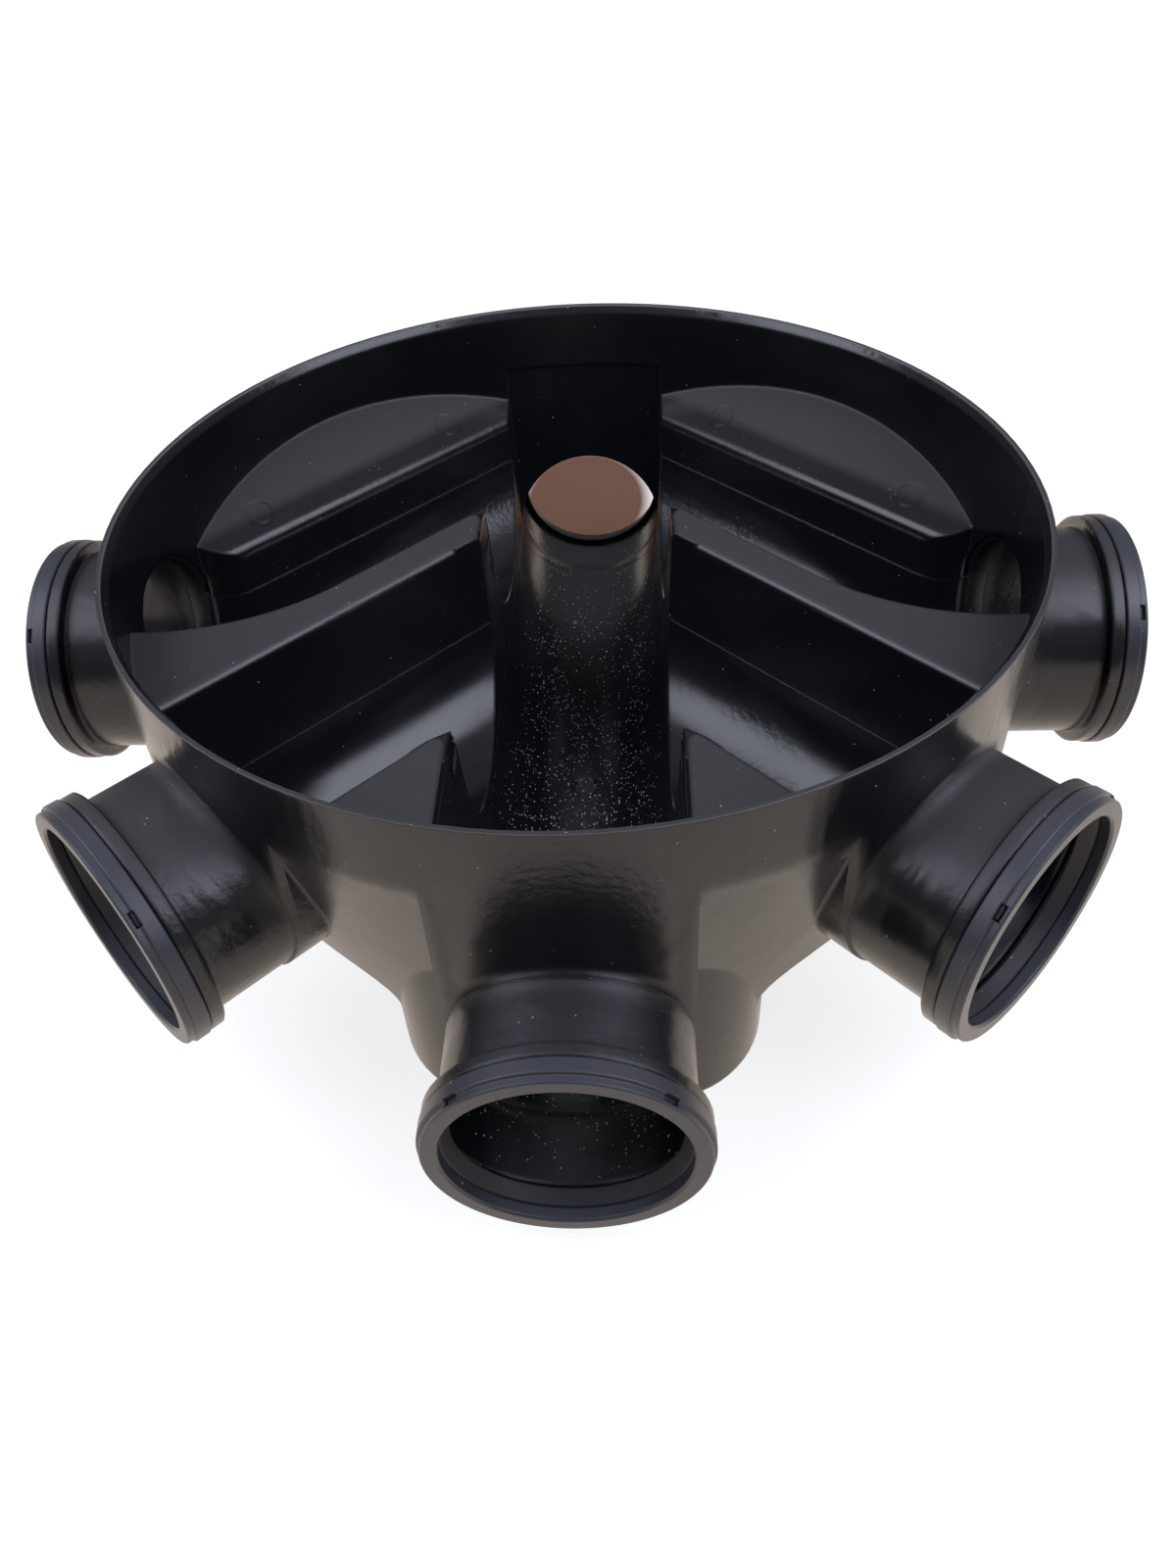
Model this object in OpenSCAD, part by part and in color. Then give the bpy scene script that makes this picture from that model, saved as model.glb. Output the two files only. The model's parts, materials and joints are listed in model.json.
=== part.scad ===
// Drain inspection chamber base, 450 class, for 110 mm pipe.
// One main run front to back, two 45 degree and two 90 degree branches,
// push-fit sockets, each with a ring seal held by a retaining cap.
// Millimetres, Z up, flow from the front (-Y) to the back (+Y).

/* [Chamber] */
// outside diameter of the plain upper rim
rim_d = 495; // [480:1:520]
// rim top above the ground
height = 235; // [215:1:250]
// thickness of the round wall and skirt
wall = 5; // [4:0.5:6]
// thickness of channel walls and benching plates
shell = 4.5; // [3.5:0.5:5.5]
// skirt diameter at its lower edge between the sockets
skirt_d = 440; // [425:1:450]
// height of the skirt's lower edge above the ground
skirt_z = 78; // [72:1:78]

/* [Foot] */
// width of the standing foot under the main channel
foot_w = 200; // [190:1:210]
// diameter the foot's ends are turned to
foot_d = 456; // [448:1:462]
// plan radius of the foot's corners
foot_r = 60; // [45:1:70]
// radius of the hollow flare from the foot out to the skirt
flare_r = 45; // [30:1:50]
// thickness of the stiffening ribs below
rib = 3; // [2.5:0.5:5]

/* [Channels] */
// waterway diameter of all channels
bore = 104; // [100:1:104]
// front inlet's axis above the ground
inlet_z = 87; // [85:1:95]
// back outlet's axis above the ground
outlet_z = 67; // [66:1:75]
// side inlets' axes above the ground
side_z = 135.5; // [131:0.5:139]
// centreline radius of the bend behind a 90 degree inlet
bend_r = 80; // [72:1:86]
// distance from the chamber axis to the bend's corner point
bend_x = 195; // [190:1:198]

/* [Benching] */
// rim top down to the flat benching
bench_drop = 42; // [36:0.5:46]
// slope of the two rear benches in degrees
rear_slope = 31; // [24:1:34]
// rounding of the benching edges
edge_r = 5; // [2:0.5:6]
// plan rounding of the benching noses
nose_r = 8; // [4:1:10]

/* [Sockets] */
// outside diameter of the pipe that is pushed in
pipe_d = 110; // [109.6:0.1:110.4]
// chamber axis to the face of each retaining cap
reach = 303; // [299:1:310]
// wall of the socket tube
tube_wall = 3; // [2.5:0.5:3.5]
// outside diameter of the retaining cap
cap_d = 131; // [130:0.5:132]
// width of each catch window in a cap
window_w = 8; // [5:0.5:12]
// clear bore of the seal lip at rest
lip_d = 103.5; // [102:0.5:106]
// clearance between a seal or cap and its seat
fit = 0.15; // [0.1:0.05:0.25]

/* [Hidden] */
$fn = 128;
R = rim_d / 2;
Ri = R - wall;
Rs = skirt_d / 2;
zr = height;
zb = height - bench_drop;        // flat benching level
zs = skirt_z;
draft = 3;                       // mould draft of the walls below the benching
br = bore / 2;
guide = pipe_d / 2 + 0.6;        // socket and cap guide bore
stop = 249.5 + (R - 247.5);      // pipe stop, from the chamber axis
face = Ri + 1.4;                 // bottom of the shallow niches in the wall
seat = guide + 4.8;              // seal seat radius
seat_s = reach - 17;             // back of the seal seat
ring_o = seat + 2.2;             // thin socket end ring under the cap
collar = cap_d / 2 - 0.6;
tube_o = guide + tube_wall;
root = sqrt(R * R - tube_o * tube_o) - 4;  // sockets start inside the wall here
n_arc = 6;
fall = atan((inlet_z - outlet_z) / (2 * face));
z_mid = (inlet_z + outlet_z) / 2;
side_w = br + 5;                 // branch half width at benching level
main_w = br + 3.5;
z_knee = zb - 43;                // rear wall stays upright down to here
foot_h = zs + (foot_d / 2 - Rs) / (R - Rs) * (zb - zs) + 1;
q_line = bend_x / sqrt(2);       // 45 degree run's distance from the axis
bend_t = bend_r * tan(22.5);
taper = (R - Rs) / (zb - zs);    // outward lean of the skirt
q_edge = q_line + br + 2.6;      // rear bench edge
z_edge = zb - (Ri - q_edge) * tan(rear_slope);

// sockets: name order, direction, axis height
ports = [[-90, inlet_z], [-135, side_z], [-45, side_z], [180, side_z], [0, side_z], [90, outlet_z]];

// corner rounding: corner p, unit directions u and v along the two edges
function unit(v) = v / norm(v);
function turn(v, a) = [v[0] * cos(a) - v[1] * sin(a), v[0] * sin(a) + v[1] * cos(a)];
function round_pts(p, u, v, r, n = n_arc) =
  let (
    half = acos(u * v) / 2,
    b = unit(u + v),
    c = p + b * r / sin(half),
    s = p + u * r / tan(half) - c,
    side = sign(u[0] * v[1] - u[1] * v[0])
  )
  concat([p - b * 0.4, p + u * r / tan(half) - v * 0.3],
    [for (i = [0:n]) c + turn(s, -side * (180 - 2 * half) * i / n)],
    [p + v * r / tan(half) - u * 0.3]);

// a body laid along +X at a given height and direction
module at(a, z) rotate([0, 0, a]) translate([0, 0, z]) rotate([0, 90, 0]) children();

// plan prism of the foot, inset by i
module foot_plan(i, z0, z1) {
  hw = foot_w / 2 - i;
  rr = foot_d / 2 - i;
  c = foot_r - i > 4 ? foot_r - i : 4;
  cx = hw - c;
  cy = sqrt(pow(rr - c, 2) - cx * cx);
  translate([0, 0, z0]) {
    intersection() {
      cylinder(h = z1 - z0, r = rr);
      translate([-cx, -rr - 1, 0]) cube([2 * cx, 2 * rr + 2, z1 - z0]);
    }
    translate([-hw, -cy, 0]) cube([2 * hw, 2 * cy, z1 - z0]);
    for (x = [-1, 1], y = [-1, 1]) translate([x * cx, y * cy, 0]) cylinder(h = z1 - z0, r = c);
  }
}

// flare from the foot's sides out to the skirt's lower edge, inset by i, up to level z1
module flare(i, z1) {
  cx = foot_w / 2 - foot_r;
  cy = sqrt(pow(foot_d / 2 - foot_r, 2) - cx * cx);
  arc = [for (t = [0:9:81])
    [foot_r + flare_r - 0.05 - (flare_r + i) * cos(t), zs - flare_r + (flare_r + i) * sin(t)]];
  last = arc[len(arc) - 1];
  section = concat([[0, arc[0][1]]], arc, last[1] < z1 ? [[last[0], z1], [0, z1]] : [[0, last[1]]]);
  intersection() {
    for (a = [0, 180]) rotate([0, 0, a]) {
      translate([cx, cy, 0]) rotate_extrude(angle = 90) polygon(section);
      translate([cx, -cy, 0]) rotate([0, 0, -90]) rotate_extrude(angle = 90) polygon(section);
      translate([cx, 0, 0]) rotate([90, 0, 0]) linear_extrude(2 * cy, center = true) polygon(section);
    }
    cylinder(h = z1, r1 = Rs - i - zs * taper, r2 = Rs - i - (zs - z1) * taper);
  }
}

// upright part of a channel section, drafted from the axis up to the benching and beyond
module upright(g, w, h) {
  top = br + g + 0.3 + (w - br - 0.3) * (h + 40) / h;
  polygon([[-br - g - 0.3, -1], [br + g + 0.3, -1], [top, h + 40], [-top, h + 40]]);
}

// straight branch run from x0 to x1 along +X
module run(x0, x1, g) translate([x0, 0, 0]) {
  rotate([0, 90, 0]) cylinder(h = x1 - x0, r = br + g);
  rotate([90, 0, 90]) linear_extrude(x1 - x0) upright(g, side_w, zb - side_z);
}

// main channel, falling to the back
module main_channel(g) translate([0, 0, z_mid]) rotate([90 - fall, 0, 0]) {
  cylinder(h = 2 * R + 8, r = br + g, center = true);
  linear_extrude(2 * R + 8, center = true) upright(g, main_w, zb - z_mid);
}

// left 45 degree branch
module branch_45(g) rotate([0, 0, -135]) translate([0, 0, side_z]) run(0, R, g);

// left 90 degree branch: straight entry, bend, 45 degree run
module branch_90(g) {
  xb = bend_x + bend_t;
  translate([0, 0, side_z]) {
    rotate([0, 0, 180]) run(xb - 3, R, g);
    translate([-xb, bend_r, 0]) rotate([0, 0, -90]) {
      rotate_extrude(angle = 45) translate([bend_r, 0]) circle(r = br + g + 0.2);
      rotate_extrude(angle = 45) translate([bend_r, 0]) upright(g + 0.2, side_w, zb - side_z);
    }
    translate([-bend_x, 0, 0]) rotate([0, 0, 45]) run(bend_t - 3, bend_x * sqrt(2) - 8, g);
  }
}

module channels(g) {
  main_channel(g);
  for (m = [0, 1]) mirror([m, 0, 0]) {
    branch_45(g);
    branch_90(g);
  }
}

// rounding cutters along both edges of a straight run
module edge_run(x0, x1, w) translate([x0, 0, 0]) rotate([90, 0, 90]) linear_extrude(x1 - x0)
  for (s = [-1, 1]) polygon([for (p = round_pts([w, zb], down(w), [1, 0], edge_r)) [s * p[0], p[1]]]);

function down(w) = unit([br + 0.3 - w, w == side_w ? side_z - zb : z_mid - zb]);

module edges() {
  rotate([0, 0, -90]) edge_run(-120, Ri - 1, main_w);
  for (m = [0, 1]) mirror([m, 0, 0]) {
    rotate([0, 0, -135]) edge_run(40, Ri - 1, side_w);
    rotate([0, 0, 180]) edge_run(bend_x + bend_t, Ri - 1, side_w);
    translate([-bend_x - bend_t, bend_r, 0]) rotate([0, 0, -90]) rotate_extrude(angle = 45)
      polygon([for (p = round_pts([side_w + 0.2, zb], down(side_w), [1, 0], edge_r)) [p[0] + bend_r, p[1]]]);
    translate([-bend_x, 0, 0]) rotate([0, 0, 45]) edge_run(bend_t, bend_t + 150, side_w);
  }
}

// plan rounding of the benching noses beside the main channel
module noses() {
  d = [-sqrt(0.5), -sqrt(0.5)];
  w45 = (side_w - 0.6) * sqrt(2);
  x = -main_w + 0.4;
  for (m = [0, 1]) mirror([m, 0, 0]) translate([0, 0, side_z - br + 1]) linear_extrude(zb - side_z + br + 1) {
    polygon(round_pts([x, x - w45], [0, -1], d, nose_r));
    polygon(round_pts([x, x + w45], [0, 1], d, nose_r));
    polygon(round_pts([x, x + bend_x - w45], [0, -1], d, nose_r));
  }
}

// left rear bench frame: origin at the wall, X outwards along 135 degrees
module rear_frame() rotate([0, 0, 135]) translate([Ri, 0, zb]) rotate([0, -rear_slope, 0]) children();

// everything above the sloping rear benches, lowered by d
module above_rear(d) intersection() {
  rear_frame() translate([-160, -230, -d]) cube([230, 460, 200]);
  rotate([0, 0, 135]) translate([q_line + 20, -230, 0]) cube([200, 460, zr]);
  cylinder(h = zb, r1 = Ri - draft, r2 = Ri);
}

module rear_cuts() for (m = [0, 1]) mirror([m, 0, 0]) {
  above_rear(0);
  rotate([0, 0, 135]) rotate([90, 0, 0]) linear_extrude(262, center = true)
    polygon(round_pts([q_edge, z_edge], [0, -1], [cos(rear_slope), sin(rear_slope)], edge_r * 1.6));
  for (y = [-73, 81]) rear_frame() translate([-(Ri - 208) / cos(rear_slope), y, -0.5]) difference() {
    cylinder(h = 2, r = 9);
    translate([0, 0, -1]) cylinder(h = 1.2, r = 7.6);
  }
}

// bulge of the outer wall round a port
module bulge(p) intersection() {
  cylinder(h = zb + 1, r = R);
  union() {
    w = (p[1] == side_z ? side_w : main_w) + 3;
    at(p[0], p[1]) translate([0, 0, 170]) cylinder(h = R - 160, r = w);
    rotate([0, 0, p[0]]) translate([170, -w, p[1]]) cube([R - 160, 2 * w, zr]);
  }
}

// shallow niche inside the wall over a port, round-headed over the side ports
module niche(p) intersection() {
  w = p[1] == side_z ? side_w - 1 : main_w - 1;
  cylinder(h = zb, r = face);
  rotate([0, 0, p[0]]) translate([sqrt(Ri * Ri - w * w) - 1, -w, p[1] + 1]) cube([20, 2 * w, zr]);
  if (p[1] == side_z) at(p[0], p[1]) translate([0, 0, 200]) cylinder(h = 60, r = w - 0.2);
  else cylinder(h = zr, r = R);
}

// socket turned about +X: solid and its bore
module socket_solid() {
  tube_profile = [[0, root], [tube_o, root], [tube_o, reach - 19.6], [collar - 1, reach - 19.2],
    [collar, reach - 18.4], [collar, reach - 12.4], [collar - 0.6, reach - 11.8], [ring_o, reach - 11.8],
    [ring_o, reach - 3.4], [ring_o - 0.5, reach - 2.9], [0, reach - 2.9]];
  rotate_extrude() polygon(tube_profile);
  for (a = [0:90:270]) rotate([0, 0, a + 45]) translate([ring_o - 0.8, -window_w / 2 + 1, reach - 4.6])
    cube([1.3, window_w - 2, 1.6]);
}

module socket_bore() {
  rotate_extrude() polygon([[0, stop], [guide, stop], [guide, seat_s - 0.6], [guide + 0.6, seat_s], [seat, seat_s],
    [seat, reach - 3.4], [seat + 0.4, reach - 2.8], [seat + 0.4, reach + 2], [0, reach + 2]]);
  translate([0, 0, Ri - 8]) cylinder(h = stop - Ri + 9, r = br + 0.6);
}

// rear half of the skirt, upright under the sloping benches, inset by i
module rear_wall(i, dz) intersection() {
  rotate_extrude() polygon([[0, zs - dz], [Rs - i, zs - dz], [R - i - 1.5 * dz, z_knee - dz],
    [R - i - 0.5 * dz, zb - shell * dz], [0, zb - shell * dz]]);
  translate([-R, 0, 0]) cube([2 * R, R, zr]);
}

module skirt_solid() {
  translate([0, 0, zb - 0.01]) cylinder(h = zr - zb + 0.01, r = R);
  translate([0, 0, zs]) cylinder(h = zb - zs, r1 = Rs, r2 = R);
  rear_wall(0, 0);
  foot_plan(0, 0, foot_h);
  flare(0, zs);
}

module outer() {
  skirt_solid();
  for (p = ports) {
    bulge(p);
    at(p[0], p[1]) socket_solid();
  }
}

module inner() {
  translate([0, 0, zb]) cylinder(h = zr - zb + 1, r = Ri);
  translate([0, 0, zr - 5]) cylinder(h = 6, r1 = Ri, r2 = R - 1.2);
  intersection() {
    union() {
      channels(0);
      edges();
      noses();
    }
    cylinder(h = zb, r1 = Ri - draft, r2 = Ri);
  }
  for (p = ports) {
    niche(p);
    at(p[0], p[1]) socket_bore();
  }
  rear_cuts();
  translate([0, -14, z_mid - br - 1.2]) cylinder(h = 6, r = 8);
}

module ribs() {
  for (y = [-165:55:165]) translate([-foot_w / 2, y - rib / 2, 5]) cube([foot_w, rib, zb]);
  for (m = [0, 1]) mirror([m, 0, 0]) for (a = [112, 123.5, 135, 146.5, 158, 202.5]) rotate([0, 0, a])
    translate([90, -rib / 2, zs + 4]) cube([R - 92, rib, zb - zs]);
}

// hollow below: foot cavity and the two wing cavities beside it
module hollow() {
  foot_plan(wall, -1, zb - shell);
  difference() {
    union() {
      translate([0, 0, zs - 1])
        cylinder(h = zb - shell - zs + 1, r1 = Rs - wall - taper, r2 = R - wall - shell * taper);
      rear_wall(wall, 1);
      flare(wall, zs - 1);
    }
    foot_plan(0, -2, zb);
  }
}

module under() difference() {
  hollow();
  channels(shell);
  for (m = [0, 1]) mirror([m, 0, 0]) above_rear(shell / cos(rear_slope));
  ribs();
}

module chamber_base() color([0.09, 0.09, 0.1]) difference() {
  outer();
  inner();
  under();
}

// retaining cap, turned about +Z, windows at 90 degrees
module cap_body() difference() {
  rotate_extrude() polygon([[guide, reach - 6.2], [guide, reach - 1.1], [guide + 1.1, reach], [cap_d / 2 - 2.2, reach],
    [cap_d / 2 - 1.5, reach - 0.7], [cap_d / 2 - 1.5, reach - 3.8], [cap_d / 2 - 0.4, reach - 4], [cap_d / 2, reach - 4.5],
    [cap_d / 2, reach - 10.8], [cap_d / 2 - 0.5, reach - 11.4], [ring_o + fit, reach - 11.4], [ring_o + fit, reach - 2.7],
    [seat - fit, reach - 2.7], [seat - fit, reach - 6.2]]);
  for (a = [0:90:270]) rotate([0, 0, a + 45]) translate([seat + 1.2, -window_w / 2, reach - 4.8])
    cube([10, window_w, 3.2]);
}

module seal_body() rotate_extrude() polygon([[seat - fit, seat_s + fit], [seat - fit, reach - 6.2 - fit],
  [guide + 0.9, reach - 6.2 - fit], [guide - 0.4, reach - 7.2], [lip_d / 2, reach - 13.6], [lip_d / 2 + 0.5, reach - 14.6],
  [lip_d / 2 + 1.6, reach - 14.4], [guide + 1.2, reach - 10.2], [guide + 1.2, seat_s + 1.2], [guide + 1.8, seat_s + fit]]);

module place(i) at(ports[i][0], ports[i][1]) children();
module cap(i) color([0.11, 0.11, 0.13]) place(i) cap_body();
module seal(i) color([0.05, 0.05, 0.05]) place(i) seal_body();

module cap_front() cap(0);
module cap_front_left() cap(1);
module cap_front_right() cap(2);
module cap_left() cap(3);
module cap_right() cap(4);
module cap_back() cap(5);
module seal_front() seal(0);
module seal_front_left() seal(1);
module seal_front_right() seal(2);
module seal_left() seal(3);
module seal_right() seal(4);
module seal_back() seal(5);

chamber_base();
cap_front();
cap_front_left();
cap_front_right();
cap_left();
cap_right();
cap_back();
seal_front();
seal_front_left();
seal_front_right();
seal_left();
seal_right();
seal_back();
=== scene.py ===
import json
import math

import bmesh
import bpy
from mathutils import Matrix, Vector


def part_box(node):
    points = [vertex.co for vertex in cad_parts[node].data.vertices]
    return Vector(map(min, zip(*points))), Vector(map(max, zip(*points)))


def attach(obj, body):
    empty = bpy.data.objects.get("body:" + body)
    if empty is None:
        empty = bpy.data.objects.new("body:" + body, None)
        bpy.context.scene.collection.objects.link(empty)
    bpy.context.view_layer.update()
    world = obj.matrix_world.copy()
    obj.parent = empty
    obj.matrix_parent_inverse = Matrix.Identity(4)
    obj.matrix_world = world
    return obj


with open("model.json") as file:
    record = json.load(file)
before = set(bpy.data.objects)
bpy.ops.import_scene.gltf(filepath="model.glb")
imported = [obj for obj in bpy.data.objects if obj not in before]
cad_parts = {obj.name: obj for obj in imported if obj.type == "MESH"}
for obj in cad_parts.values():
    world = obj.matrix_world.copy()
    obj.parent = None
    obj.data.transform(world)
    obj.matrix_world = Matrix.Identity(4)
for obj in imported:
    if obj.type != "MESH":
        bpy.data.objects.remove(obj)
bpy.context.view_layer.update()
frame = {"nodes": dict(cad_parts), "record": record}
nodes = frame["nodes"]
mounts = {m["name"]: m for m in frame["record"]["mounts"]}
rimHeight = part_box("chamber_base")[1][2]
seatRadius = mounts["riser"]["dims"]["r_mm"] / 1000
print("frame loaded:", len(nodes), "nodes")


# sRGB hex to linear RGBA
def linear(hexColour):
    values = [int(hexColour[i:i + 2], 16) / 255 for i in (1, 3, 5)]
    return [v / 12.92 if v <= 0.04045 else ((v + 0.055) / 1.055) ** 2.4 for v in values] + [1.0]


# texture scale of a pattern that is so many millimetres across
def perMetre(millimetres):
    return 1000.0 / millimetres


def newMaterial(name):
    mat = bpy.data.materials.new(name)
    mat.use_nodes = True
    mat.node_tree.nodes.clear()
    return mat, mat.node_tree


# adds a shader node: settings, ramp stops, then inputs as constants, sockets or other nodes
def add(tree, kind, inputs=None, stops=None, **settings):
    node = tree.nodes.new(kind)
    for key, value in settings.items():
        setattr(node, key, value)
    for index, (place, colour) in enumerate(stops or []):
        if index > 1:
            node.color_ramp.elements.new(place)
        node.color_ramp.elements[index].position = place
        node.color_ramp.elements[index].color = colour
    for key, value in (inputs or {}).items():
        socket = node.inputs[key] if isinstance(key, int) else next(
            s for s in node.inputs if s.enabled and s.name == key)
        if isinstance(value, bpy.types.Node):
            value = next(s for s in value.outputs if s.enabled)
        if isinstance(value, bpy.types.NodeSocket):
            tree.links.new(value, socket)
        else:
            socket.default_value = value
    return node


# where finishes change on the chamber, in metres: out from the riser seat, or down from the rim
zones = {
    "skinFrom": 0.0012,           # the wall's outside
    "tubesFrom": 0.0075,          # the socket tubes
    "wallTo": 0.0335,             # end of the wide roundings round the sockets
    "wallBelow": 0.012,           # the rim itself keeps its crisp corner
    "trimmed": (0.0012, 0.0004),  # fade of the trimmed top edge
}

# patterns that every moulded skin shares: sizes in millimetres, the rest as spans and shares
skin = {
    "patchSize": 125.0, "patchSpan": (0.35, 0.65), "patchRough": (-0.04, 0.06),
    "peelSize": 4.1667, "peelSpan": (0.46, 0.66),
    "flowSize": (45.4545, 45.4545, 111.111), "flowBend": 1.6,
    # turn of each lay of scratches, and the size of its cells
    "scratchLays": (((0.3, 0.15, 0.5), (62.5, 3.0303, 3.0303)),
                    ((0.1, 0.9, -0.7), (3.3333, 90.909, 3.3333))),
    "scratchLevel": 0.80, "scratchPaint": 0.5, "scratchCut": -0.25,
    # grit of 0.1 mm is drawn 0.4 mm in radius so that it shows
    "dustSize": 3.0303, "dustRadius": 0.14, "dustFacing": (-0.2, 1.0), "dustLeast": 0.97,
    "dustColour": "#c2beb6", "dustPaint": 0.75,
    "rubLean": (0.95, 0.72), "rimRub": 0.9, "wornRough": 0.4,
    "topFacing": (0.62, 0.84), "topFade": 0.004,
    "bumpStrength": 0.6, "bumpHeight": 0.0002, "ior": 1.49,
}

# silt in the main channel: places in metres, sizes in millimetres; fine sand is drawn
# 0.6 mm in radius so that it shows
silt = {
    "height": (0.085, 0.050), "halfWidth": (0.050, 0.036), "along": (0.20, -0.16), "least": 0.22,
    "mouth": (-0.28, -0.22), "mouthShare": 0.12, "driftSize": 33.3333, "driftSpan": (0.34, 0.58),
    "cellSize": 1.5625, "radius": 0.40,
}


# moulded corners run soft, and softer still on the outer wall between the sockets
def roundedNormal(tree, out, height, look):
    wall = 1.0
    for operation, value, limit in (("GREATER_THAN", out, seatRadius + look["wallFrom"]),
                                    ("LESS_THAN", out, seatRadius + zones["wallTo"]),
                                    ("LESS_THAN", height, rimHeight - zones["wallBelow"])):
        within = add(tree, "ShaderNodeMath", {0: value, 1: limit}, operation=operation)
        wall = add(tree, "ShaderNodeMath", {0: wall, 1: within}, operation="MULTIPLY")
    radius = add(tree, "ShaderNodeMapRange", {"Value": wall, "To Min": look["edge"],
                                              "To Max": look["wallEdge"]})
    return add(tree, "ShaderNodeBevel", {"Radius": radius}, samples=6)


# long soft flow marks where the melt met itself, on the outside only
def flowMarks(tree, place, out, look):
    lay = add(tree, "ShaderNodeMapping", {"Vector": place,
                                          "Scale": [perMetre(s) for s in skin["flowSize"]]})
    marks = add(tree, "ShaderNodeTexNoise", {"Vector": lay, "Scale": 1.0, "Detail": 2.0,
                                             "Distortion": skin["flowBend"]})
    outside = add(tree, "ShaderNodeMath", {0: out, 1: seatRadius + zones["skinFrom"]},
                  operation="GREATER_THAN")
    depth = add(tree, "ShaderNodeMath", {0: outside, 1: look["flow"]}, operation="MULTIPLY")
    return add(tree, "ShaderNodeMath", {0: marks, 1: depth}, operation="MULTIPLY")


# one speck in each cell that is picked above the level, of up to the given radius in cells
def specks(tree, place, scale, level, radius):
    cells = add(tree, "ShaderNodeTexVoronoi", {"Vector": place, "Scale": scale})
    pick = add(tree, "ShaderNodeSeparateColor", {0: cells.outputs["Color"]})
    size = add(tree, "ShaderNodeMapRange", {"Value": pick, "From Min": level, "To Max": radius})
    return add(tree, "ShaderNodeMath", {0: cells.outputs["Distance"], 1: size},
               operation="LESS_THAN")


# short fine scratches in two directions: specks in long thin cells
def scratchLines(tree, place, look):
    lines = 0.0
    for turn, cell in skin["scratchLays"]:
        lay = add(tree, "ShaderNodeMapping", {"Vector": place, "Rotation": turn,
                                              "Scale": [perMetre(s) for s in cell]})
        line = specks(tree, lay, 1.0, skin["scratchLevel"], look["scratch"])
        lines = add(tree, "ShaderNodeMath", {0: line, 1: lines}, operation="MAXIMUM")
    return lines


# grit, more of it on surfaces that face up
def dustSpecks(tree, place, up, look):
    level = add(tree, "ShaderNodeMapRange", {
        "Value": up, "From Min": skin["dustFacing"][0], "From Max": skin["dustFacing"][1],
        "To Min": skin["dustLeast"], "To Max": 1.0 - look["dust"]})
    return specks(tree, place, perMetre(skin["dustSize"]), level, skin["dustRadius"])


# silt washed into the main channel in drifts, thickest towards the front
def siltSpecks(tree, place, at, look):
    across = add(tree, "ShaderNodeMath", {0: at.outputs["X"]}, operation="ABSOLUTE")
    drift = add(tree, "ShaderNodeTexNoise", {
        "Vector": place, "Scale": perMetre(silt["driftSize"]), "Detail": 6.0, "Roughness": 0.7})
    amount = 1.0
    for value, (start, end), (least, most) in (
            (at.outputs["Z"], silt["height"], (0.0, 1.0)),
            (across, silt["halfWidth"], (0.0, 1.0)),
            (at.outputs["Y"], silt["along"], (silt["least"], look["silt"])),
            (at.outputs["Y"], silt["mouth"], (silt["mouthShare"], 1.0)),
            (drift, silt["driftSpan"], (0.0, 1.0))):
        share = add(tree, "ShaderNodeMapRange", {
            "Value": value, "From Min": start, "From Max": end, "To Min": least, "To Max": most})
        amount = add(tree, "ShaderNodeMath", {0: amount, 1: share}, operation="MULTIPLY")
    level = add(tree, "ShaderNodeMath", {0: 1.0, 1: amount}, operation="SUBTRACT")
    return specks(tree, place, perMetre(silt["cellSize"]), level, silt["radius"])


# edges rubbed pale, from how far the rounded normal leans away, and the trimmed rim
def rubbedEdges(tree, facing, softNormal, patches, height, look):
    lean = add(tree, "ShaderNodeVectorMath", {0: softNormal, 1: facing},
               operation="DOT_PRODUCT").outputs["Value"]
    rub = add(tree, "ShaderNodeMapRange", {
        "Value": lean, "From Min": skin["rubLean"][0], "From Max": skin["rubLean"][1],
        "To Max": look["rub"]})
    rub = add(tree, "ShaderNodeMath", {0: rub, 1: patches}, operation="MULTIPLY")
    rim = add(tree, "ShaderNodeMapRange", {
        "Value": height, "From Min": rimHeight - zones["trimmed"][0],
        "From Max": rimHeight - zones["trimmed"][1], "To Max": skin["rimRub"]})
    return add(tree, "ShaderNodeMath", {0: rub, 1: rim}, operation="MAXIMUM")


# flat tops and the tubes' backs: a duller finish than the walls, with a paler colour painted on
# them as painted light from above
def dullTopsWithPaintedLight(tree, up, out, height, look):
    high = add(tree, "ShaderNodeMapRange", {"Value": height, "From Min": look["topFrom"],
                                            "From Max": look["topFrom"] + skin["topFade"]})
    tube = add(tree, "ShaderNodeMath", {0: out, 1: seatRadius + zones["tubesFrom"]},
               operation="GREATER_THAN")
    tube = add(tree, "ShaderNodeMath", {0: tube, 1: look["tubeTop"]}, operation="MULTIPLY")
    high = add(tree, "ShaderNodeMath", {0: high, 1: tube}, operation="MAXIMUM")
    dullTopAndPaintedLight = add(tree, "ShaderNodeMapRange", {"Value": up, "From Min": skin["topFacing"][0],
                                            "From Max": skin["topFacing"][1]})
    return add(tree, "ShaderNodeMath", {0: dullTopAndPaintedLight, 1: high}, operation="MULTIPLY")
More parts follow.
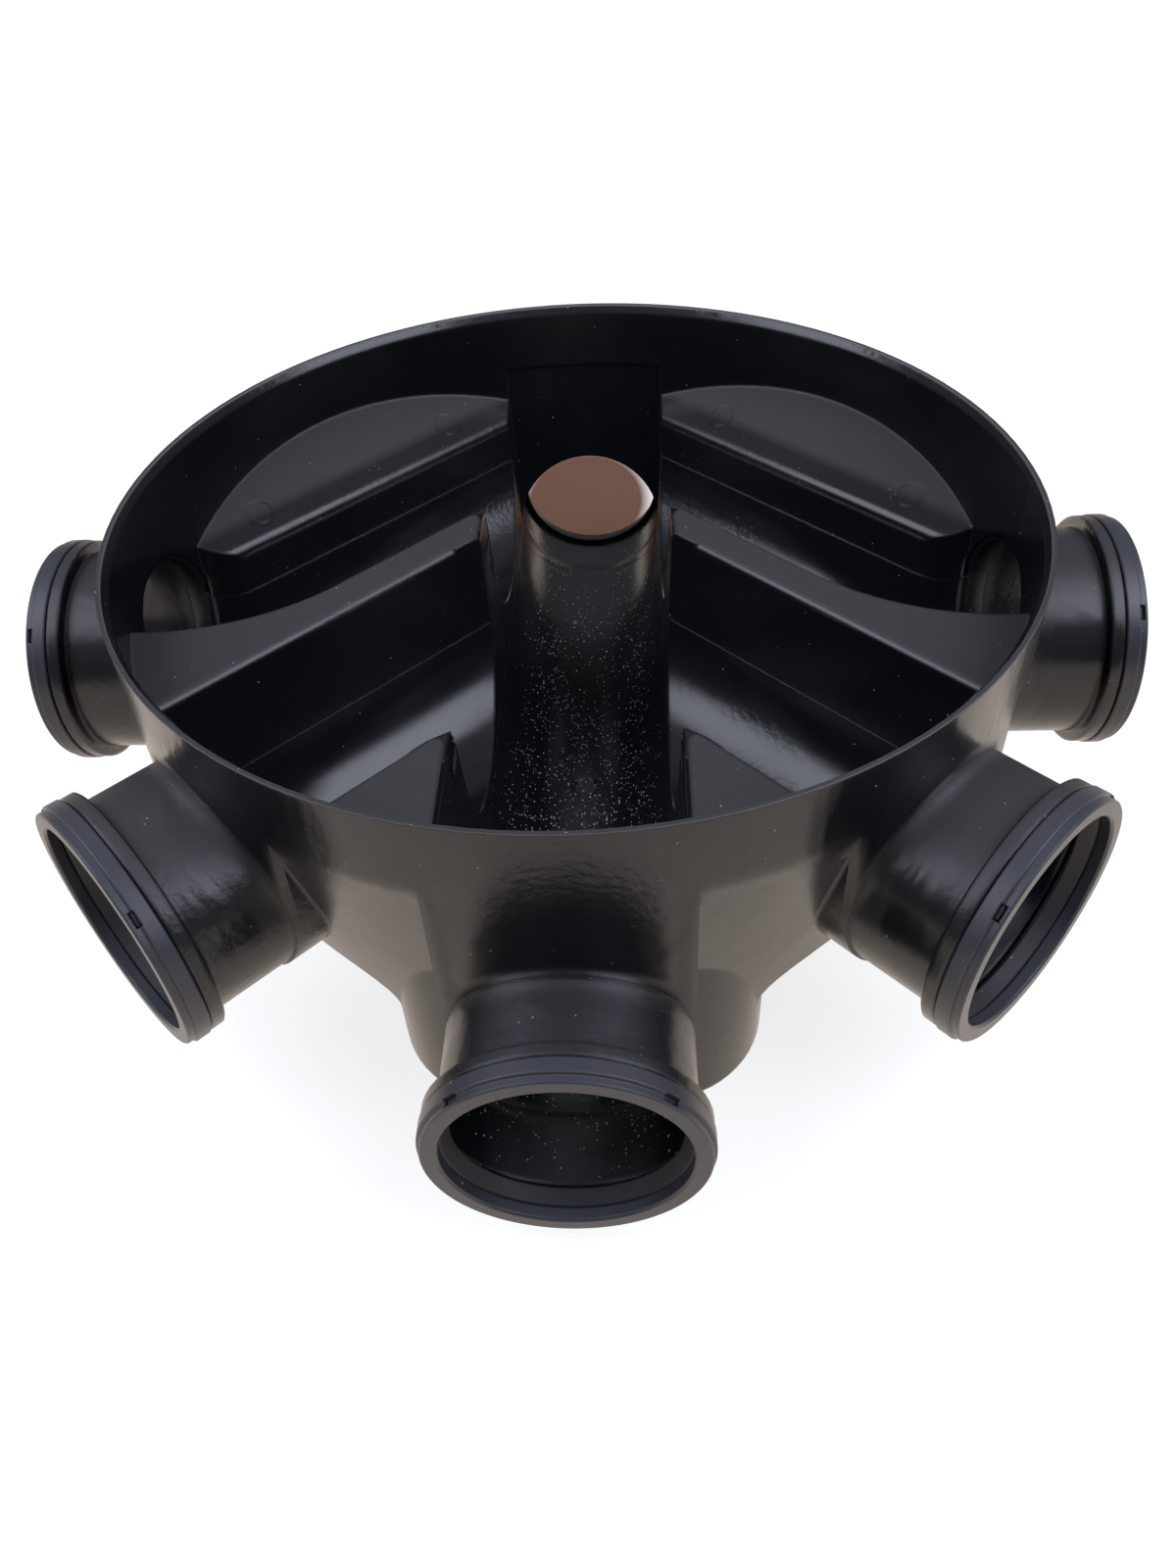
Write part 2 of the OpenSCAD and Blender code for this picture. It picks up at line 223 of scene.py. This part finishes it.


# injection moulded plastic or rubber: a satin skin with the marks of moulding, storage and use,
# and painted light on its up-facing tops
def mouldedPlastic(name, look):
    mat, tree = newMaterial(name)
    place = add(tree, "ShaderNodeTexCoord").outputs["Object"]
    facing = add(tree, "ShaderNodeNewGeometry").outputs["Normal"]
    up = add(tree, "ShaderNodeSeparateXYZ", {0: facing}).outputs["Z"]
    at = add(tree, "ShaderNodeSeparateXYZ", {0: place})
    height = at.outputs["Z"]
    plan = add(tree, "ShaderNodeVectorMath", {0: place, 1: (1.0, 1.0, 0.0)},
               operation="MULTIPLY")
    out = add(tree, "ShaderNodeVectorMath", {0: plan}, operation="LENGTH").outputs["Value"]
    softNormal = roundedNormal(tree, out, height, look)

    # broad uneven sheen, fine grain, and orange peel that comes and goes
    patches = add(tree, "ShaderNodeTexNoise", {
        "Vector": place, "Scale": perMetre(skin["patchSize"]), "Detail": 5.0, "Roughness": 0.6})
    grain = add(tree, "ShaderNodeTexNoise", {"Vector": place, "Scale": perMetre(look["grain"]),
                                             "Detail": 2.0})
    grain = add(tree, "ShaderNodeMath", {0: grain, 1: look["grainDepth"]}, operation="MULTIPLY")
    peel = add(tree, "ShaderNodeTexNoise", {
        "Vector": place, "Scale": perMetre(skin["peelSize"]), "Detail": 2.0})
    peelDepth = add(tree, "ShaderNodeMapRange", {
        "Value": patches, "From Min": skin["peelSpan"][0], "From Max": skin["peelSpan"][1],
        "To Max": look["peel"]}, interpolation_type="SMOOTHSTEP")
    peel = add(tree, "ShaderNodeMath", {0: peel, 1: peelDepth}, operation="MULTIPLY")
    flow = flowMarks(tree, place, out, look)
    scratches = scratchLines(tree, place, look)
    dust = dustSpecks(tree, place, up, look)
    if look["silt"]:
        wash = siltSpecks(tree, place, at, look)
        dust = add(tree, "ShaderNodeMath", {0: dust, 1: wash}, operation="MAXIMUM")
    rub = rubbedEdges(tree, facing, softNormal, patches, height, look)
    dullTopAndPaintedLight = dullTopsWithPaintedLight(tree, up, out, height, look)

    # the plastic's own colour, then each layer over it
    marks = add(tree, "ShaderNodeMath", {0: scratches, 1: skin["scratchPaint"]},
                operation="MULTIPLY")
    cover = add(tree, "ShaderNodeMath", {0: dust, 1: skin["dustPaint"]}, operation="MULTIPLY")
    paint = linear(look["colour"][0])
    # one layer is painted light: the paler top colour on up-facing surfaces
    for amount, colour in ((patches, look["colour"][1]), (rub, look["worn"]),
                           (marks, look["worn"]), (dullTopAndPaintedLight, look["top"]),
                           (cover, skin["dustColour"])):
        paint = add(tree, "ShaderNodeMix", {"Factor": amount, "A": paint, "B": linear(colour)},
                    data_type="RGBA")

    rough = add(tree, "ShaderNodeMapRange", {"Value": dullTopAndPaintedLight, "To Min": look["rough"],
                                             "To Max": look["flatRough"]})
    uneven = add(tree, "ShaderNodeMapRange", {
        "Value": patches, "From Min": skin["patchSpan"][0], "From Max": skin["patchSpan"][1],
        "To Min": skin["patchRough"][0], "To Max": skin["patchRough"][1]})
    rough = add(tree, "ShaderNodeMath", {0: rough, 1: uneven}, operation="ADD")
    dull = add(tree, "ShaderNodeMath", {0: cover, 1: rub}, operation="MAXIMUM")
    dull = add(tree, "ShaderNodeMath", {0: dull, 1: skin["wornRough"]}, operation="MULTIPLY")
    rough = add(tree, "ShaderNodeMath", {0: rough, 1: dull}, operation="ADD", use_clamp=True)

    cut = add(tree, "ShaderNodeMath", {0: scratches, 1: skin["scratchCut"]},
              operation="MULTIPLY")
    relief = grain
    for layer in (peel, flow, cut, dust):
        relief = add(tree, "ShaderNodeMath", {0: relief, 1: layer}, operation="ADD")
    bump = add(tree, "ShaderNodeBump", {
        "Strength": skin["bumpStrength"], "Distance": skin["bumpHeight"], "Height": relief,
        "Normal": softNormal})
    shader = add(tree, "ShaderNodeBsdfPrincipled", {
        "Base Color": paint, "Roughness": rough, "IOR": skin["ior"], "Normal": bump})
    add(tree, "ShaderNodeOutputMaterial", {"Surface": shader})
    return mat


# In each look: grain is the size of the etched grain in millimetres, drawn two to three times
# too coarse so that it shows; edge and wallEdge are roundings in metres; wallFrom and topFrom
# are in metres, out from the riser seat and up from the ground; the rest are shares.

# black recycled-grade polypropylene, moulded: near black and satin; tops drawn duller, and top is
# a paler colour painted on them as painted light
baseLook = {
    "colour": ("#0d1014", "#141619"), "worn": "#6c6b6a", "rough": 0.215,
    "top": "#373538", "topFrom": 0.17, "tubeTop": 0.6, "flatRough": 0.46,
    "grain": 0.66667, "grainDepth": 0.30, "peel": 2.2, "flow": 7.0, "scratch": 0.08,
    "dust": 0.14, "silt": 0.95, "rub": 0.22,
    "edge": 0.0030, "wallFrom": 0.0015, "wallEdge": 0.011,
}
basePlastic = mouldedPlastic("polypropylene_moulded_black", baseLook)
# the same plastic where a steep face under the benching runs out: no painted top light, no silt
steepPlastic = mouldedPlastic("polypropylene_moulded_steep", {
    **baseLook, "top": baseLook["colour"][1], "flatRough": baseLook["rough"], "silt": 0.0})
# caps moulded from a slightly bluer polypropylene with a duller skin; up-facing parts get the
# paler of its two colours as painted light
capPlastic = mouldedPlastic("polypropylene_cap_charcoal", {
    "colour": ("#303138", "#3a3b42"), "worn": "#77777d", "rough": 0.31,
    "top": "#3a3b42", "topFrom": 0.0, "tubeTop": 1.0, "flatRough": 0.42,
    "grain": 0.52632, "grainDepth": 0.45, "peel": 0.5, "flow": 1.0, "scratch": 0.05,
    "dust": 0.05, "silt": 0.0, "rub": 0.35,
    "edge": 0.0009, "wallFrom": 1.0, "wallEdge": 0.0,
})
# ring seal rubber, moulded: dull and slightly bloomed; up-facing parts painted a shade paler as
# painted light
sealRubber = mouldedPlastic("epdm_seal_rubber", {
    "colour": ("#15161a", "#1c1d21"), "worn": "#4a4b50", "rough": 0.55,
    "top": "#1c1d21", "topFrom": 0.0, "tubeTop": 1.0, "flatRough": 0.6,
    "grain": 0.38462, "grainDepth": 0.8, "peel": 0.1, "flow": 0.0, "scratch": 0.03,
    "dust": 0.09, "silt": 0.0, "rub": 0.2,
    "edge": 0.0005, "wallFrom": 1.0, "wallEdge": 0.0,
})

for name, obj in nodes.items():
    material = {"cap": capPlastic, "seal": sealRubber}.get(name.split("_")[0], basePlastic)
    obj.data.materials.clear()
    obj.data.materials.append(material)
print("materials set")

# solid wedges behind the thin walls where a branch meets the main channel, in metres
nose = {
    "benching": rimHeight - 0.042, "branchAxis": mounts["inlet_left"]["pos_m"][2],
    "channelAxis": (mounts["inlet_front"]["pos_m"][2] + mounts["outlet_back"]["pos_m"][2]) / 2,
    "foot": 0.0855,
    "halfBore": 0.0520, "ledge": 0.0003,             # channel wall, and the step above it
    "channelDraft": 0.0032, "branchDraft": 0.0047,   # how far each wall leans out at the top
    "frontBend": 0.0, "middleBend": 0.195,           # where the branches' axes cross the middle
    "under": 0.00025,                                # the wedge stays this far behind the skin
    "tipDrop": 0.0050, "topDrop": 0.0016,            # its top runs down towards the tip
    "middle": 0.014, "far": 0.025, "soften": 0.0006,
}


# plan corner of a nose at a height, between the channel wall and the branch wall
def noseCorner(bend, height):
    lift = (height - nose["channelAxis"]) / (nose["benching"] - nose["channelAxis"])
    skinLine = nose["halfBore"] + nose["ledge"] + nose["under"]
    channel = skinLine + nose["channelDraft"] * lift
    lift = max(0.0, height - nose["branchAxis"]) / (nose["benching"] - nose["branchAxis"])
    branch = skinLine + nose["branchDraft"] * lift
    return Vector((-channel, bend - channel - branch * math.sqrt(2), height))


def noseWedge(name, bend, side):
    alongChannel = Vector((0.0, -1.0, 0.0))
    alongBranch = Vector((-math.sqrt(0.5), -math.sqrt(0.5), 0.0))
    mesh = bmesh.new()
    rings = []
    for level in ("foot", "branchAxis", "benching"):
        ring = []
        for way, distance in ((alongChannel, 0.0), (alongChannel, nose["middle"]),
                              (alongChannel, nose["far"]), (alongBranch, nose["far"]),
                              (alongBranch, nose["middle"])):
            drop = nose["topDrop"] if distance else nose["tipDrop"]
            height = nose[level] - (drop if level == "benching" else 0.0)
            spot = noseCorner(bend, height) + way * distance
            ring.append(mesh.verts.new((spot.x * side, spot.y, spot.z)))
        rings.append(ring)
    for lower, upper in zip(rings, rings[1:]):
        for i in range(len(lower)):
            j = (i + 1) % len(lower)
            mesh.faces.new((lower[i], lower[j], upper[j], upper[i]))
    tip, channelMiddle, channelFar, branchFar, branchMiddle = rings[-1]
    mesh.faces.new(rings[0])
    mesh.faces.new((tip, channelMiddle, branchMiddle))
    mesh.faces.new((channelMiddle, channelFar, branchFar, branchMiddle))
    bmesh.ops.recalc_face_normals(mesh, faces=mesh.faces)
    data = bpy.data.meshes.new(name)
    mesh.to_mesh(data)
    mesh.free()
    piece = bpy.data.objects.new(name, data)
    bpy.context.collection.objects.link(piece)
    soft = piece.modifiers.new("soften", "BEVEL")
    soft.width = nose["soften"]
    soft.segments = 2
    data.materials.append(steepPlastic)
    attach(piece, "root")


for sideName, side in (("left", 1), ("right", -1)):
    noseWedge("benching_nose_front_" + sideName, nose["frontBend"], side)
    noseWedge("benching_nose_middle_" + sideName, nose["middleBend"], side)
print("benching noses filled")

studio = {
    "floorSize": 14.0, "floorSeen": "#ffffff", "floorMirrored": "#fff0e2", "floorLit": "#a2968a",
    "floorGlow": 0.80, "floorShade": 0.35,    # shares of white light given off, and of shadow kept
    "whiteFrom": 0.9, "whiteTo": 2.4,         # metres out where the floor turns plain white
    # a brown painted shadow on the floor behind the chamber, where the outlet looks down on it
    "shadowPatchAt": (-0.0095, 0.377, 0.0), "shadowPatchHalf": (0.058, 0.090, 1.0), "shadowPatchEdge": (0.86, 1.12),
    "shadowPatchColour": "#6b5044",
    "skyTop": "#eef3ff", "skyTopFrom": 0.8, "skyLow": "#8f8c89", "skyStrength": 0.42,
    "aimAt": (0.0, 0.0, 0.1),
    "softboxes": {
        "left": {"at": (-1.37, -0.37, 1.41), "size": (1.1, 1.4), "power": 22.0,
                 "colour": "#e8edff"},
        "right": {"at": (1.27, -0.54, 1.45), "size": (1.2, 1.4), "power": 26.0,
                  "colour": "#e8edff"},
    },
}


# pale painted floor with a brown painted shadow patch just where the outlet looks down on it
def buildFloor():
    mat, tree = newMaterial("studio_floor_paint")
    path = add(tree, "ShaderNodeLightPath")
    place = add(tree, "ShaderNodeTexCoord").outputs["Object"]
    away = add(tree, "ShaderNodeVectorMath", {0: place, 1: studio["shadowPatchAt"]},
               operation="SUBTRACT")
    away = add(tree, "ShaderNodeVectorMath", {0: away, 1: studio["shadowPatchHalf"]},
               operation="DIVIDE")
    away = add(tree, "ShaderNodeVectorMath", {0: away}, operation="LENGTH").outputs["Value"]
    away = add(tree, "ShaderNodeMapRange", {"Value": away, "From Min": studio["shadowPatchEdge"][0],
                                            "From Max": studio["shadowPatchEdge"][1]})
    seen = add(tree, "ShaderNodeMix", {"Factor": away, "A": linear(studio["shadowPatchColour"]),
                                       "B": linear(studio["floorSeen"])}, data_type="RGBA")
    # warmer where it is mirrored in the plastic
    seen = add(tree, "ShaderNodeMix", {"Factor": path.outputs["Is Glossy Ray"], "A": seen,
                                       "B": linear(studio["floorMirrored"])},
               data_type="RGBA", blend_type="MULTIPLY")
    far = add(tree, "ShaderNodeVectorMath", {0: place}, operation="LENGTH").outputs["Value"]
    far = add(tree, "ShaderNodeMapRange", {
        "Value": far, "From Min": studio["whiteFrom"], "From Max": studio["whiteTo"],
        "To Min": studio["floorGlow"], "To Max": 1.0})
    glow = add(tree, "ShaderNodeEmission", {"Color": seen, "Strength": far})
    # a share of plain paint keeps the chamber's shadow
    paint = add(tree, "ShaderNodeBsdfDiffuse", {"Color": seen})
    dark = add(tree, "ShaderNodeEmission", {"Strength": 0.0})
    paint = add(tree, "ShaderNodeMixShader", {0: studio["floorShade"], 1: dark, 2: paint})
    white = add(tree, "ShaderNodeAddShader", {0: glow, 1: paint})
    lit = add(tree, "ShaderNodeBsdfDiffuse", {"Color": linear(studio["floorLit"])})
    shown = path.outputs["Is Camera Ray"]
    for ray in ("Is Glossy Ray", "Is Transmission Ray"):
        shown = add(tree, "ShaderNodeMath", {0: shown, 1: path.outputs[ray]},
                    operation="MAXIMUM")
    both = add(tree, "ShaderNodeMixShader", {0: shown, 1: lit, 2: white})
    add(tree, "ShaderNodeOutputMaterial", {"Surface": both})
    bpy.ops.mesh.primitive_plane_add(size=studio["floorSize"])
    floor = bpy.context.object
    floor.name = "studio_floor"
    floor.data.materials.append(mat)


# soft sky that lights the chamber; with no metal or glass here, only the camera sees it white
def buildSurround():
    world = bpy.data.worlds.new("studio_surround")
    bpy.context.scene.world = world
    world.use_nodes = True
    tree = world.node_tree
    tree.nodes.clear()
    path = add(tree, "ShaderNodeLightPath")
    toSky = add(tree, "ShaderNodeTexCoord").outputs["Generated"]
    toSky = add(tree, "ShaderNodeSeparateXYZ", {0: toSky}).outputs["Z"]
    sky = add(tree, "ShaderNodeValToRGB", {"Fac": toSky}, stops=[
        (0.0, linear(studio["skyLow"])), (studio["skyTopFrom"], linear(studio["skyTop"]))])
    around = add(tree, "ShaderNodeBackground", {"Color": sky,
                                                "Strength": studio["skyStrength"]})
    white = add(tree, "ShaderNodeBackground", {"Color": linear(studio["floorSeen"]),
                                               "Strength": 1.0})
    both = add(tree, "ShaderNodeMixShader", {0: path.outputs["Is Camera Ray"], 1: around,
                                             2: white})
    add(tree, "ShaderNodeOutputWorld", {"Surface": both})


def placeSoftboxes():
    for name, box in studio["softboxes"].items():
        light = bpy.data.lights.new("softbox_" + name, "AREA")
        light.shape = "RECTANGLE"
        light.size, light.size_y = box["size"]
        light.energy = box["power"]
        light.color = linear(box["colour"])[:3]
        lamp = bpy.data.objects.new("softbox_" + name, light)
        lamp.location = box["at"]
        toChamber = Vector(studio["aimAt"]) - Vector(box["at"])
        lamp.rotation_euler = toChamber.to_track_quat("-Z", "Y").to_euler()
        bpy.context.collection.objects.link(lamp)


# in front of the chamber and above the rim, looking down into it; angles in radians
view = {"at": (0.0334, -0.5525, 0.5676), "yaw": -0.072, "pitch": 0.740, "roll": -0.065,
        "lens": 36.15, "sensor": 36.0, "shift": (0.0122, -0.0451), "nearest": 0.01}


def placeCamera():
    yaw, pitch, roll = view["yaw"], view["pitch"], view["roll"]
    ahead = Vector((math.sin(yaw) * math.cos(pitch), math.cos(yaw) * math.cos(pitch),
                    -math.sin(pitch)))
    right = Vector((math.cos(yaw), -math.sin(yaw), 0.0))
    over = right.cross(ahead)
    side = math.cos(roll) * right + math.sin(roll) * over
    top = math.cos(roll) * over - math.sin(roll) * right
    data = bpy.data.cameras.new("view")
    data.sensor_fit = "HORIZONTAL"
    data.sensor_width = view["sensor"]
    data.lens = view["lens"]
    data.shift_x, data.shift_y = view["shift"]
    data.clip_start = view["nearest"]
    cam = bpy.data.objects.new("view", data)
    turn = Matrix((side, top, -ahead)).transposed().to_4x4()
    cam.matrix_world = Matrix.Translation(view["at"]) @ turn
    bpy.context.collection.objects.link(cam)
    bpy.context.scene.camera = cam


buildFloor()
buildSurround()
placeSoftboxes()
placeCamera()
bpy.context.scene.view_settings.view_transform = "Standard"
print("studio and camera set")
